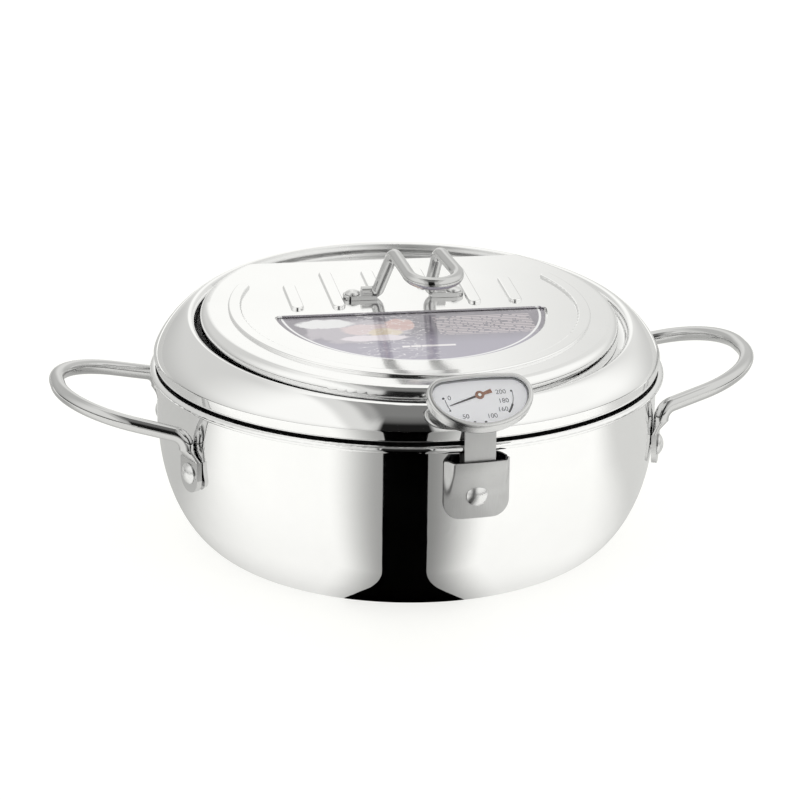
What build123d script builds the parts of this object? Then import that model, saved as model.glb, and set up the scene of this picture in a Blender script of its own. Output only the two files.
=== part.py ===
from build123d import *
import os
from math import asin, atan, cos, degrees, radians, sin, sqrt, tan

os.makedirs("parts", exist_ok=True)

# Lidded frying pot with a splash collar, a ribbed drain lid and a clip-in dial
# thermometer. Millimetres, +Z up, origin at the centre of the pot's flat base,
# +X towards the right handle, -Y towards the thermometer.

# ---------------------------------------------------------------- driving sizes
CLEAR = 0.1                 # air between fixed pieces of one body
GAP = 0.35                  # air between loose pieces

# pot
POT_R = 121.0               # outside radius of the upright wall
POT_T = 1.2                 # sheet thickness
BASE_R = 83.0               # radius of the flat base
WALL_Z = 65.0               # height where the wall becomes upright
RIM_TOP = 90.4              # top of the rolled rim
BEAD_W = 4.8                # width of the rolled rim
BEAD_H = 3.8                # height of the rolled rim

# splash collar
SHEET_T = 0.9               # sheet thickness of collar and lid
HEM_R = 121.8               # lower edge
BULGE_R = 122.6             # widest place
BULGE_Z = 97.0
CROWN_TILT = 4.15           # degrees, the opening leans forward
CROWN_Y = -7.0
CROWN_Z = 115.1
CROWN_R = 107.2             # radius of the collar's highest line
SHOULDER_FALL = 1.5         # 1 is an elliptical shoulder, more is a flatter, more conical one
MOUTH_R = 103.7             # radius of the opening
LEDGE_DEPTH = 6.0           # ledge below the highest line
LEDGE_R = 96.0              # inner edge of the ledge
LIP_DROP = 3.0
SKIRT_R = 119.3             # locating skirt inside the pot's wall
SKIRT_Z = 84.0

# lid
LID_R = 100.6
LID_RISE = 4.5              # lid's flat top above the collar's highest line
LID_TURN = -4.6             # degrees, how the lid happens to lie in its seat
LID_SHIFT = -1.0
LID_H = LID_RISE + LEDGE_DEPTH - 0.3
LID_SHOULDER = 4.6          # radius of the lid's rounded edge
CHORD_CORNER = 7.0
CHORD_Y = 73.0              # straight back edge of the lid
RIB_W = 6.4
RIB_H = 1.3
RIB_XS = (12.3, 33.3, 53.5)
RIB_BACK = (52.5, 52.5, 36.5)
RIB_FRONT = (26.5, 3.5, 3.5)
RING_RIB_R = 84.0
RING_RIB_END = 25.5         # degrees above the sideways line
MOON_R = 66.5
MOON_Y = -3.0
MOON_DEPTH = 1.8
MOON_CORNER = 3.1
MOON_MARGIN = 1.0           # air round the instruction plate
MOON_PLATE_T = 0.5
RIB_ROUND = 0.9

# lid handle
WIRE_D = 6.0
FOOT_X = 12.9
FOOT_Y = 17.0
HUMP_X = 11.0
HUMP_Y = 0.0
HUMP_Z = 29.0
HOOP_X = 12.3
HOOP_Y = -36.0
HOOP_DROP = 3.0
HOOP_SKEW = 8.0             # degrees that the hoop points off the feet's square
TAB_END_X = 29.6
TAB_W = 8.0
TAB_T = 2.2
LID_RIVET_X = 25.0
LID_RIVET_R = 1.6
LID_RIVET_HEADS = (3.6, 1.9, 3.0, 0.9)   # outer radius and height, inner radius and height
FOOT_BEND_R = 3.4
HUMP_BEND_R = 8.5
HOOP_END_R = 11.5
TAB_CORNER = 3.4

# side handles
TUBE_D = 7.2
HANDLE_TURN = -3.0          # degrees, both handles off the square to the thermometer
MOUNT_ANGLE = 22.5          # degrees each side of the handle's middle line
TAB_BOTTOM_Z = 48.0
TAB_TOP_Z = 64.0
TUBE_START_Z = 69.4
SIDE_RIVET_Z = 57.2
SIDE_TAB_W = 15.0
SIDE_TAB_T = 2.5
BEND_Z = 75.6
LOOP_X = 169.7
LOOP_HALF_Y = 37.0
LOOP_Z = 89.0
LOOP_BEND_R = 41.0
NECK_BEND_R = 7.2           # bend above each flattened end

# rivets
RIVET_R = 2.5
HEAD_R = 5.0
HEAD_H = 2.6
INNER_HEAD_R = 4.2
INNER_HEAD_H = 1.4

# thermometer
FACE_TILT = 50.0            # degrees between the dial's normal and the horizontal
FACE_Y = -126.6
FACE_Z = 114.4
CASE_A = 24.6               # half width of the case
CASE_B = 18.2               # depth of its rounded lower half
CASE_MID = 2.0              # height of the widest line above the face's centre
CASE_CORNER = 9.6
CASE_ARCH = 0.7
CASE_DEPTH = 8.5
CASE_T = 0.9
CASE_INSET = 1.0            # case's wall inside the bezel's outline
CASE_BACK_R = 1.8
BEZEL_LIP = 2.3
BEZEL_H = 4.6
BEZEL_ROUND = 1.5
LENS_DROP = 1.1             # glass below the bezel's front
LENS_T = 1.4
DIAL_T = 0.5
DIAL_DROP = 3.2             # dial plate's face below the bezel's front
PIVOT_V = 2.0               # pointer's pivot above the face's centre
NEEDLE_ANGLE = 197.0        # where the pointer rests, counter-clockwise from right
NEEDLE_LEN = 15.3
NEEDLE_T = 0.28
NEEDLE_LIFT = 0.12            # air between the needle and the dial plate
HUB_R = 2.1
NEEDLE_TIP_W = 0.36
NEEDLE_MID_W = 1.1
TAIL_LEN = 6.0
TAIL_W = 2.0
SHAFT_R = 0.8
SHAFT_END = 2.75            # shaft's end below the bezel's front
BUSH_R = 1.9
BUSH_FLANGE_R = 3.0
BUSH_H = 1.4
GASKET_W = 0.7
COIL_T = 0.35
COIL_H = 1.9
COIL_TURNS = 4
COIL_R = 1.5
COIL_PITCH = 1.05
COIL_LIFT = 0.3             # air between the coil and the case's back
LEG_W = 14.6
LEG_T = 1.2
LEG_BACK_Y = -125.3         # side of the leg that faces the pot
LEG_TIP_Z = 76.0
LEG_FLANGE = 16.5
LEG_RIVET_X = 5.2
LEG_RIVET_V = 8.0
LEG_RIVET_R = 1.0
LEG_RIVET_HEADS = (1.7, 0.6, 1.7, 0.5)
LEG_BEND_R = 2.6

# thermometer bracket
BRACKET_W = 31.0
BRACKET_TOP = 83.2
BRACKET_BOTTOM = 54.5
BRACKET_T = 1.2
BRACKET_CORNER = 8.0
BRACKET_RIVET_Z = 65.5
POCKET_HALF = 9.6           # half width of the pocket
POCKET_ROOT_Z = 71.5        # where the pocket leaves the plate
POCKET_FULL_Z = 75.2        # where it reaches its full depth
BRACKET_TOP_CORNER = 1.5


# ---------------------------------------------------------------- small helpers
def save(shape, name):
    """Write one node."""
    export_step(shape, f"parts/{name}.step")


def revolved(*edges):
    """Solid of revolution about Z from a closed outline in the X-Z plane."""
    outline = Plane.XZ * make_face(Curve() + list(edges))
    return revolve(outline, Axis.Z, 360)


def ring_plane(tilt, y, z):
    """Horizontal plane tipped forward by tilt degrees about X."""
    lean = radians(tilt)
    return Plane(origin=(0, y, z), x_dir=(1, 0, 0), z_dir=(0, -sin(lean), cos(lean)))


def rivet(grip_in, grip_out, heads=(HEAD_R, HEAD_H, INNER_HEAD_R, INNER_HEAD_H), shank_r=RIVET_R):
    """Rivet along +X: shank from grip_in to grip_out, domed head outside, flat head inside."""
    head_r, head_h, inner_r, inner_h = heads
    along = Plane(origin=(grip_in, 0, 0), x_dir=(0, 1, 0), z_dir=(1, 0, 0))
    shank = along * extrude(Circle(shank_r), grip_out - grip_in)
    rim_h = 0.2 * head_h
    dome_r = ((head_h - rim_h) ** 2 + head_r**2) / (2 * (head_h - rim_h))
    arc_mid = asin(head_r / dome_r) / 2
    top = grip_out + head_h
    outline = make_face(
        Curve()
        + [
            Line((grip_out, 0), (grip_out, head_r)),
            Line((grip_out, head_r), (grip_out + rim_h, head_r)),
            ThreePointArc(
                (grip_out + rim_h, head_r),
                (top - dome_r * (1 - cos(arc_mid)), dome_r * sin(arc_mid)),
                (top, 0),
            ),
            Line((top, 0), (grip_out, 0)),
        ]
    )
    dome = revolve(outline, Axis.X, 360)
    inner = along * Pos(0, 0, -inner_h) * extrude(Circle(inner_r), inner_h)
    inner = chamfer(inner.faces().sort_by(Axis.X)[0].edges(), 0.35 * inner_h)
    return shank + dome + inner


def side_hole():
    """Rivet hole along +X through whatever stands at the pot's wall."""
    return Pos(POT_R, 0, 0) * Rot(0, 90, 0) * Cylinder(RIVET_R + CLEAR, 30)


# ---------------------------------------------------------------- pot
def wall_radius(z, inset=0.0):
    """Outside radius of the pot at height z, less an inset."""
    if z >= WALL_Z:
        return POT_R - inset
    drop = (WALL_Z - z) / (WALL_Z - inset)
    return BASE_R + (POT_R - BASE_R - inset) * sqrt(1 - drop**2)


def mount_points():
    """Angle and height of each riveted place on the pot's wall."""
    places = [(-90.0, BRACKET_RIVET_Z)]
    for side in (0.0, 180.0):
        middle = side + HANDLE_TURN
        places += [(middle - MOUNT_ANGLE, SIDE_RIVET_Z), (middle + MOUNT_ANGLE, SIDE_RIVET_Z)]
    return places


def make_pot():
    inner_r = POT_R - POT_T
    bead_z = RIM_TOP - BEAD_H / 2
    wall = revolved(
        Line((0, 0), (BASE_R, 0)),
        EllipticalCenterArc((BASE_R, WALL_Z), POT_R - BASE_R, WALL_Z, 270, arc_size=90),
        Line((POT_R, WALL_Z), (POT_R, bead_z)),
        Line((POT_R, bead_z), (inner_r, bead_z)),
        Line((inner_r, bead_z), (inner_r, WALL_Z)),
        EllipticalCenterArc((BASE_R, WALL_Z), inner_r - BASE_R, WALL_Z - POT_T, 270, arc_size=90),
        Line((BASE_R, POT_T), (0, POT_T)),
        Line((0, POT_T), (0, 0)),
    )
    bead = Plane.XZ * Pos(inner_r + BEAD_W / 2, bead_z) * Ellipse(BEAD_W / 2, BEAD_H / 2)
    pot = wall + revolve(bead, Axis.Z, 360)
    for angle, z in mount_points():
        pot -= Rot(0, 0, angle) * Pos(0, 0, z) * side_hole()
    return pot


# ---------------------------------------------------------------- splash collar
def shoulder_plane(turn, sink=0.0):
    """Section plane and circle radius of the collar's shoulder, turn in degrees from 0 to 90."""
    up = sin(radians(turn)) ** SHOULDER_FALL
    across = max(cos(radians(turn)), 0) ** SHOULDER_FALL
    radius = CROWN_R + (BULGE_R - sink - CROWN_R) * across
    slope = up * tan(radians(CROWN_TILT)) * CROWN_R / radius
    z = BULGE_Z + (CROWN_Z - sink - BULGE_Z) * up
    return ring_plane(degrees(atan(slope)), CROWN_Y * (1 - across), z), radius


def collar_body(sink):
    """Closed body under the collar's skin, from the hem over the crown to the ledge."""
    crown = ring_plane(CROWN_TILT, CROWN_Y, CROWN_Z)
    roll_r = CROWN_R - MOUTH_R - sink
    hem_z = RIM_TOP + GAP + sink
    rings = [Plane.XY.offset(hem_z) * Circle(HEM_R - sink)]
    rings.append(Plane.XY.offset((hem_z + BULGE_Z) / 2) * Circle((HEM_R + 3 * BULGE_R) / 4 - sink))
    for turn in range(0, 91, 15):
        plane, radius = shoulder_plane(turn, sink)
        rings.append(plane * Circle(radius))
    for turn in (30, 60, 90):
        drop = sink + roll_r * (1 - cos(radians(turn)))
        rings.append(crown * Pos(0, 0, -drop) * Circle(CROWN_R - roll_r * sin(radians(turn))))
    rings.append(crown * Pos(0, 0, -LEDGE_DEPTH - sink) * Circle(CROWN_R - roll_r))
    return loft(rings)


def make_collar():
    """Formed ring: hem and skirt below, bulging shoulder, curled mouth and an inner ledge."""
    crown = ring_plane(CROWN_TILT, CROWN_Y, CROWN_Z)
    lip_z = -LEDGE_DEPTH - LIP_DROP
    seat_z = RIM_TOP + GAP
    ring = collar_body(0.0) - collar_body(SHEET_T)
    ring += crown * Pos(0, 0, lip_z) * extrude(Circle(LEDGE_R + SHEET_T), LIP_DROP - SHEET_T / 2)
    ring += Pos(0, 0, SKIRT_Z) * extrude(Circle(SKIRT_R), seat_z + SHEET_T / 2 - SKIRT_Z)
    ring -= crown * Pos(0, 0, lip_z - 1) * extrude(Circle(LEDGE_R), LIP_DROP + 2)
    return ring - Pos(0, 0, SKIRT_Z - 1) * extrude(Circle(SKIRT_R - SHEET_T), seat_z + SHEET_T + 2 - SKIRT_Z)


# ---------------------------------------------------------------- lid
def lid_plane():
    """Centre of the lid's flat top, turned the way the lid lies."""
    top = ring_plane(CROWN_TILT, CROWN_Y, CROWN_Z) * Pos(LID_SHIFT, 0, LID_RISE) * Rot(0, 0, LID_TURN)
    return Plane(top)


def cut_disc(radius, chord_y, corner):
    """Disc with a straight back edge."""
    disc = Circle(radius) & Pos(0, chord_y - 2 * radius) * Rectangle(4 * radius, 4 * radius)
    return fillet(disc.vertices(), corner)


def cut_moon(radius, straight_y, corner):
    """Front part of a disc, in front of a straight edge."""
    moon = Circle(radius) & Pos(0, straight_y - 2 * radius) * Rectangle(4 * radius, 4 * radius)
    return fillet(moon.vertices(), corner)


def rib_outlines(width):
    """Plan outlines of all pressed ribs."""
    outlines = []
    for x, back, front in zip(RIB_XS, RIB_BACK, RIB_FRONT):
        middle = (back + front) / 2
        length = back - front
        for side in (-1, 1):
            slot = Pos(side * x, middle) * Rot(0, 0, 90) * SlotOverall(length - RIB_W + width, width)
            outlines.append(slot)
    sweep_angle = 180 + 2 * RING_RIB_END
    arc = CenterArc((0, 0), RING_RIB_R, 180 - RING_RIB_END, sweep_angle)
    outlines.append(SlotArc(arc, width))
    return outlines


def pressed_rib(outline, base_z, height):
    """Rib body with a rounded top edge."""
    body = Pos(0, 0, base_z) * extrude(outline, height)
    return fillet(body.faces().sort_by(Axis.Z)[-1].edges(), RIB_ROUND)


def make_lid():
    shell = Pos(0, 0, -LID_H) * extrude(cut_disc(LID_R, CHORD_Y, CHORD_CORNER), LID_H)
    shell = fillet(shell.faces().sort_by(Axis.Z)[-1].edges(), LID_SHOULDER)
    hollow_h = LID_H - SHEET_T
    hollow = Pos(0, 0, -LID_H) * extrude(
        cut_disc(LID_R - SHEET_T, CHORD_Y - SHEET_T, CHORD_CORNER - SHEET_T), hollow_h
    )
    hollow = fillet(hollow.faces().sort_by(Axis.Z)[-1].edges(), LID_SHOULDER - SHEET_T)
    lid = shell - hollow
    pan_h = MOON_DEPTH + SHEET_T
    pan = cut_moon(MOON_R + SHEET_T, MOON_Y + SHEET_T, MOON_CORNER + SHEET_T)
    lid += Pos(0, 0, -pan_h) * extrude(pan, pan_h - SHEET_T / 4)
    lid -= Pos(0, 0, -MOON_DEPTH) * extrude(cut_moon(MOON_R, MOON_Y, MOON_CORNER), MOON_DEPTH + 1)
    for outline in rib_outlines(RIB_W):
        lid += pressed_rib(outline, -SHEET_T / 2, RIB_H + SHEET_T / 2)
    for outline in rib_outlines(RIB_W - 2 * SHEET_T):
        lid -= Pos(0, 0, -2 * SHEET_T) * extrude(outline, RIB_H + SHEET_T)
    for side in (-1, 1):
        lid -= Pos(side * LID_RIVET_X, FOOT_Y, -5) * extrude(Circle(LID_RIVET_R + CLEAR), 10)
    return lid


def make_lid_handle():
    """Bent wire: two flat tabs, two legs leaning forward and a level hairpin loop."""
    foot_z = TAB_T / 2 + CLEAR + WIRE_D / 4
    half = [
        (-TAB_END_X + 9, FOOT_Y, foot_z),
        (-FOOT_X, FOOT_Y, foot_z),
        (-HUMP_X, HUMP_Y, HUMP_Z),
        (-HOOP_X, HOOP_Y, HUMP_Z - HOOP_DROP),
    ]
    square = half + [(-x, y, z) for x, y, z in reversed(half)]
    lean = tan(radians(HOOP_SKEW))
    points = [(x + (FOOT_Y - y) * lean, y, z) for x, y, z in square]
    half_bends = [FOOT_BEND_R, HUMP_BEND_R, HOOP_END_R]
    path = FilletPolyline(*points, radius=half_bends + half_bends[::-1])
    start = Plane(origin=path @ 0, z_dir=path % 0)
    wire = sweep(start * Circle(WIRE_D / 2), path=path)
    wire -= Pos(0, 0, -10 + CLEAR) * Box(200, 200, 20)
    tab_len = TAB_END_X - FOOT_X - 0.5
    for side in (-1, 1):
        flat = Pos(side * (TAB_END_X - tab_len / 2), FOOT_Y) * Rectangle(tab_len, TAB_W)
        ends = flat.vertices().sort_by(Axis.X)
        flat = fillet(ends[:2] if side < 0 else ends[-2:], TAB_CORNER)
        tab = Pos(0, 0, CLEAR) * extrude(flat, TAB_T)
        tab = fillet(tab.faces().sort_by(Axis.Z)[-1].edges(), 0.6)
        tab -= Pos(side * LID_RIVET_X, FOOT_Y, -1) * extrude(Circle(LID_RIVET_R + CLEAR), 10)
        wire += tab
    return wire


def make_lid_rivets():
    """Two low domed rivets through the handle's tabs and the lid's sheet."""
    upright = Rot(0, -90, 0)
    one = upright * rivet(-SHEET_T - CLEAR, TAB_T + 2 * CLEAR, LID_RIVET_HEADS, LID_RIVET_R)
    return [Pos(side * LID_RIVET_X, FOOT_Y, 0) * one for side in (-1, 1)]


def make_instruction_plate():
    outline = cut_moon(MOON_R - MOON_MARGIN, MOON_Y - MOON_MARGIN, MOON_CORNER - MOON_MARGIN + CLEAR)
    plate = extrude(outline, MOON_PLATE_T)
    return Pos(0, 0, -MOON_DEPTH + CLEAR / 2) * plate


# ---------------------------------------------------------------- side handles
def make_side_handle():
    """Right-hand tube loop with two flattened ends riveted to the wall."""
    grip_r = POT_R + CLEAR + TUBE_D / 2
    spot_x = grip_r * cos(radians(MOUNT_ANGLE))
    spot_y = grip_r * sin(radians(MOUNT_ANGLE))
    half = [
        (spot_x, spot_y, TUBE_START_Z),
        (spot_x, spot_y, BEND_Z),
        (LOOP_X, LOOP_HALF_Y, LOOP_Z),
    ]
    points = half + [(x, -y, z) for x, y, z in reversed(half)]
    path = FilletPolyline(*points, radius=[NECK_BEND_R, LOOP_BEND_R, LOOP_BEND_R, NECK_BEND_R])
    start = Plane(origin=path @ 0, z_dir=path % 0)
    loop = sweep(start * Circle(TUBE_D / 2), path=path)
    for side in (-1, 1):
        loop += Rot(0, 0, side * MOUNT_ANGLE) * side_tab()
    return Rot(0, 0, HANDLE_TURN) * loop


def side_tab():
    """Flattened tube end on the wall, in the X-Z plane."""
    face_x = POT_R + CLEAR
    middle_x = face_x + SIDE_TAB_T / 2
    height = TAB_TOP_Z - TAB_BOTTOM_Z
    flat = Rectangle(SIDE_TAB_W, height)
    flat = fillet(flat.vertices().sort_by(Axis.Y)[:2], SIDE_TAB_W / 2 - 0.4)
    upright = Plane(origin=(face_x, 0, TAB_BOTTOM_Z + height / 2), x_dir=(0, 1, 0), z_dir=(1, 0, 0))
    tab = upright * extrude(flat, SIDE_TAB_T)
    low = Plane.XY.offset(TAB_TOP_Z) * Pos(middle_x, 0) * RectangleRounded(SIDE_TAB_T, SIDE_TAB_W, 1.2)
    high = Plane.XY.offset(TUBE_START_Z) * Pos(face_x + TUBE_D / 2, 0) * Circle(TUBE_D / 2)
    tab += loft([low, high])
    return tab - Pos(0, 0, SIDE_RIVET_Z) * side_hole()


def make_side_rivets(side_angle):
    """Both rivets of one handle."""
    inner_face = sqrt(wall_radius(SIDE_RIVET_Z - INNER_HEAD_R, POT_T) ** 2 - INNER_HEAD_R**2) - CLEAR
    one = Pos(0, 0, SIDE_RIVET_Z) * rivet(inner_face, POT_R + 2 * CLEAR + SIDE_TAB_T)
    middle = side_angle + HANDLE_TURN
    return [Rot(0, 0, middle + turn) * one for turn in (-MOUNT_ANGLE, MOUNT_ANGLE)]


# ---------------------------------------------------------------- thermometer
def face_plane():
    """Dial plane: x to the right, y up the face, z out of the glass."""
    lean = radians(FACE_TILT)
    return Plane(origin=(0, FACE_Y, FACE_Z), x_dir=(1, 0, 0), z_dir=(0, -cos(lean), sin(lean)))


def half_moon(inset=0.0):
    """Dial outline: a low arched top, round corners and a half-oval below."""
    a = CASE_A - inset
    b = CASE_B - inset
    corner = CASE_CORNER - inset
    top = CASE_MID + corner
    inner_x = a - corner
    return make_face(
        Curve()
        + [
            EllipticalCenterArc((0, CASE_MID), a, b, 180, arc_size=180),
            CenterArc((inner_x, CASE_MID), corner, 0, 90),
            ThreePointArc((inner_x, top), (0, top + CASE_ARCH), (-inner_x, top)),
            CenterArc((-inner_x, CASE_MID), corner, 90, 90),
        ]
    )


def slab(low, high, inset):
    """Prism with the dial's outline between two depths along the face's normal."""
    return Pos(0, 0, low) * extrude(half_moon(inset), high - low)


def make_case():
    """Deep cup, open at the front, with a rounded back edge and a hole for the bush."""
    cup = slab(-CASE_DEPTH, -LENS_DROP - LENS_T - 2 * CLEAR, CASE_INSET)
    cup = fillet(cup.faces().sort_by(Axis.Z)[0].edges(), CASE_BACK_R)
    cup -= slab(-CASE_DEPTH + CASE_T, 0, CASE_INSET + CASE_T)
    for side in (-1, 1):
        cup -= Pos(side * LEG_RIVET_X, LEG_RIVET_V, -CASE_DEPTH - 1) * extrude(Circle(LEG_RIVET_R + CLEAR), 3)
    return cup


def make_bezel():
    """Rolled ring round the glass, with a rounded front edge."""
    ring = slab(-BEZEL_H, 0, 0.0)
    ring = fillet(ring.faces().sort_by(Axis.Z)[-1].edges(), BEZEL_ROUND)
    ring -= slab(-BEZEL_H - 1, -LENS_DROP, CASE_INSET - CLEAR)
    ring -= slab(-LENS_DROP - 1, 1, BEZEL_LIP)
    return ring


def make_lens():
    return slab(-LENS_DROP - CLEAR - LENS_T, -LENS_DROP - CLEAR, CASE_INSET + CLEAR)


def make_gasket():
    """Silicone ring between the glass and the dial plate."""
    low = -DIAL_DROP + CLEAR / 2
    high = -LENS_DROP - 1.5 * CLEAR - LENS_T
    outside = CASE_INSET + CASE_T + CLEAR
    return slab(low, high, outside) - slab(low - 1, high + 1, outside + GASKET_W)


def make_dial_plate():
    plate = slab(-DIAL_DROP - DIAL_T, -DIAL_DROP, CASE_INSET + CASE_T + CLEAR)
    return plate - Pos(0, PIVOT_V, -10) * extrude(Circle(BUSH_R + CLEAR), 20)


def make_bush():
    """Collared bush that carries the pointer's shaft in the dial plate."""
    low = -DIAL_DROP - DIAL_T
    bush = Pos(0, PIVOT_V, low - BUSH_H) * extrude(Circle(BUSH_R), DIAL_T + BUSH_H)
    bush += Pos(0, PIVOT_V, low - BUSH_H) * extrude(Circle(BUSH_FLANGE_R), BUSH_H - CLEAR)
    return bush - Pos(0, PIVOT_V, -20) * extrude(Circle(SHAFT_R + CLEAR / 2), 40)


def make_shaft():
    back = -CASE_DEPTH + CASE_T + COIL_LIFT
    return Pos(0, PIVOT_V, back) * extrude(Circle(SHAFT_R), -SHAFT_END - back)


def make_pointer():
    """Slim tapered needle with a round hub and a short tail."""
    upper = [(NEEDLE_LEN, NEEDLE_TIP_W / 2), (0, NEEDLE_MID_W / 2), (-TAIL_LEN, TAIL_W / 2)]
    lower = [(x, -half) for x, half in reversed(upper)]
    needle = make_face(Polyline(*upper, *lower, close=True))
    flat = extrude(needle, NEEDLE_T, dir=(0, 0, 1)) + extrude(Circle(HUB_R), NEEDLE_T)
    flat -= Pos(0, 0, -1) * extrude(Circle(SHAFT_R + 0.03), 3)
    return Pos(0, PIVOT_V, NEEDLE_LIFT - DIAL_DROP) * Rot(0, 0, NEEDLE_ANGLE) * flat


def make_coil():
    """Bimetal spiral round the shaft, wound in one flat layer."""
    arcs = spiral_arcs(COIL_TURNS, COIL_R, COIL_PITCH)
    line = Curve() + [CenterArc(centre, r, start, 180) for centre, r, start in arcs]
    band = offset(line, amount=COIL_T, side=Side.LEFT)
    return Pos(0, PIVOT_V, -CASE_DEPTH + CASE_T + COIL_LIFT) * extrude(make_face(band), COIL_H)


def spiral_arcs(turns, first, pitch):
    """Half circles whose radius grows by half a pitch each, joined end to end."""
    arcs = []
    centre = 0.0
    radius = first
    for k in range(2 * turns):
        start = 0 if k % 2 == 0 else 180
        arcs.append(((centre, 0), radius, start))
        end_x = centre - radius if k % 2 == 0 else centre + radius
        radius += pitch / 2
        centre = end_x + radius if k % 2 == 0 else end_x - radius
    return arcs


def make_leg():
    """Flat strip: a flange on the case's back, a bend and a straight leg into the pocket."""
    lean = radians(FACE_TILT)
    back_y = FACE_Y + (CASE_DEPTH + CLEAR) * cos(lean)
    back_z = FACE_Z - (CASE_DEPTH + CLEAR) * sin(lean)
    step = (LEG_BACK_Y - LEG_T - back_y) / -sin(lean)
    bend_z = back_z - step * cos(lean)
    outer_y = LEG_BACK_Y - LEG_T
    flange_y = outer_y + LEG_FLANGE * sin(lean)
    flange_z = bend_z + LEG_FLANGE * cos(lean)
    line = FilletPolyline((outer_y, LEG_TIP_Z), (outer_y, bend_z), (flange_y, flange_z), radius=LEG_BEND_R)
    band = offset(line, amount=LEG_T, side=Side.RIGHT)
    leg = Plane.YZ * Pos(0, 0, -LEG_W / 2) * extrude(make_face(band), LEG_W)
    for side in (-1, 1):
        hole = Pos(side * LEG_RIVET_X, LEG_RIVET_V, -CASE_DEPTH - 5) * extrude(Circle(LEG_RIVET_R + CLEAR), 6)
        leg -= face_plane() * hole
    return leg


def make_leg_rivets():
    """Two small rivets that hold the leg's flange to the case's back."""
    upright = Rot(0, -90, 0)
    outer = CASE_DEPTH + LEG_T + 2 * CLEAR
    one = upright * rivet(-outer, -CASE_DEPTH + CASE_T + CLEAR, LEG_RIVET_HEADS, LEG_RIVET_R)
    return [face_plane() * Pos(side * LEG_RIVET_X, LEG_RIVET_V, 0) * one for side in (-1, 1)]


def make_bracket():
    """Plate bent to the pot's wall, with a pocket pressed out at the top for the leg."""
    inner = POT_R + CLEAR
    outer = inner + BRACKET_T
    height = BRACKET_TOP - BRACKET_BOTTOM
    shell = Pos(0, 0, BRACKET_BOTTOM) * extrude(Circle(outer) - Circle(inner), height)
    front = Rectangle(BRACKET_W, height)
    front = fillet(front.vertices().sort_by(Axis.Y)[:2], BRACKET_CORNER)
    front = fillet(front.vertices().sort_by(Axis.Y)[-2:], BRACKET_TOP_CORNER)
    facing = Plane(origin=(0, -100, BRACKET_BOTTOM + height / 2), x_dir=(1, 0, 0), z_dir=(0, -1, 0))
    plate = shell & facing * extrude(front, 40)
    pocket_y = LEG_BACK_Y - LEG_T - GAP
    outside = pocket_wedge(pocket_y - BRACKET_T, 0.0, POCKET_HALF)
    inside = pocket_wedge(pocket_y, BRACKET_T, POCKET_HALF - BRACKET_T)
    plate = plate + outside - inside
    return plate - Pos(0, 0, BRACKET_RIVET_Z) * Rot(0, 0, -90) * side_hole()


def pocket_wedge(front_y, inset, half):
    """Wedge that blends from the pocket's front into the plate below it."""
    top = BRACKET_TOP + (1.0 if inset else 0.0)
    root_y = -POT_R - CLEAR - (0.0 if inset else 0.3)
    side = make_face(
        Curve()
        + Polyline(
            (root_y, POCKET_ROOT_Z + inset / 2),
            (front_y, POCKET_FULL_Z + inset / 2),
            (front_y, top),
            (root_y, top),
            (root_y, POCKET_ROOT_Z + inset / 2),
        )
    )
    return Plane.YZ * Pos(0, 0, -half) * extrude(side, 2 * half)


def make_bracket_rivet():
    inner_face = sqrt((POT_R - POT_T) ** 2 - INNER_HEAD_R**2) - CLEAR
    one = rivet(inner_face, POT_R + 2 * CLEAR + BRACKET_T)
    return Pos(0, 0, BRACKET_RIVET_Z) * Rot(0, 0, -90) * one


# ---------------------------------------------------------------- write the nodes
LID = lid_plane()
FACE = face_plane()

save(make_pot(), "pot_body")
save(make_side_handle(), "right_handle")
save(Rot(0, 0, 180) * make_side_handle(), "left_handle")
save(Compound(children=make_side_rivets(0.0)), "right_handle_rivets")
save(Compound(children=make_side_rivets(180.0)), "left_handle_rivets")
save(make_bracket(), "thermometer_bracket")
save(make_bracket_rivet(), "bracket_rivet")
save(make_collar(), "splash_collar")
save(LID * make_lid(), "lid_plate")
save(LID * make_lid_handle(), "lid_handle")
save(Compound(children=[LID * piece for piece in make_lid_rivets()]), "lid_handle_rivets")
save(LID * make_instruction_plate(), "instruction_plate")
save(FACE * make_case(), "thermometer_case")
save(FACE * make_bezel(), "thermometer_bezel")
save(FACE * make_lens(), "thermometer_lens")
save(FACE * make_gasket(), "lens_gasket")
save(FACE * make_dial_plate(), "dial_plate")
save(FACE * make_bush(), "shaft_bush")
save(FACE * make_shaft(), "pointer_shaft")
save(FACE * make_pointer(), "dial_pointer")
save(FACE * make_coil(), "bimetal_coil")
save(make_leg(), "thermometer_leg")
save(Compound(children=make_leg_rivets()), "leg_rivets")
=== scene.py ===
"""Looks of the lidded frying pot: studio, materials and fine surface pieces.

Everything is in metres in the CAD frame: origin at the middle of the pot's base, +X towards
the right handle, -Y towards the thermometer, +Z up.
"""

import math

import bpy
from mathutils import Matrix, Vector


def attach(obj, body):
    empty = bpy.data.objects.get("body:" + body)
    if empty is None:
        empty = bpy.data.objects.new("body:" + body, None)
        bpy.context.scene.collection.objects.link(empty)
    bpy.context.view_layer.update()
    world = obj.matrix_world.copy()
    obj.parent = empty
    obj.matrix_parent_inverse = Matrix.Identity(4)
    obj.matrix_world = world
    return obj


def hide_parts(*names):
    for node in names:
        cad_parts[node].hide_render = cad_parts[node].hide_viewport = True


MM = 0.001
CAMERA_YAW = 15.4          # degrees towards the left handle
CAMERA_RISE = 18.0
CAMERA_ROLL = 0.64
CAMERA_DISTANCE = 1.5
ORBIT_Z = 90.3             # height, in mm, of the point that the camera stands around
AIM = Vector((-4.5, -4.75, 72.6)) * MM
LENS_MM = 138.8

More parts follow.
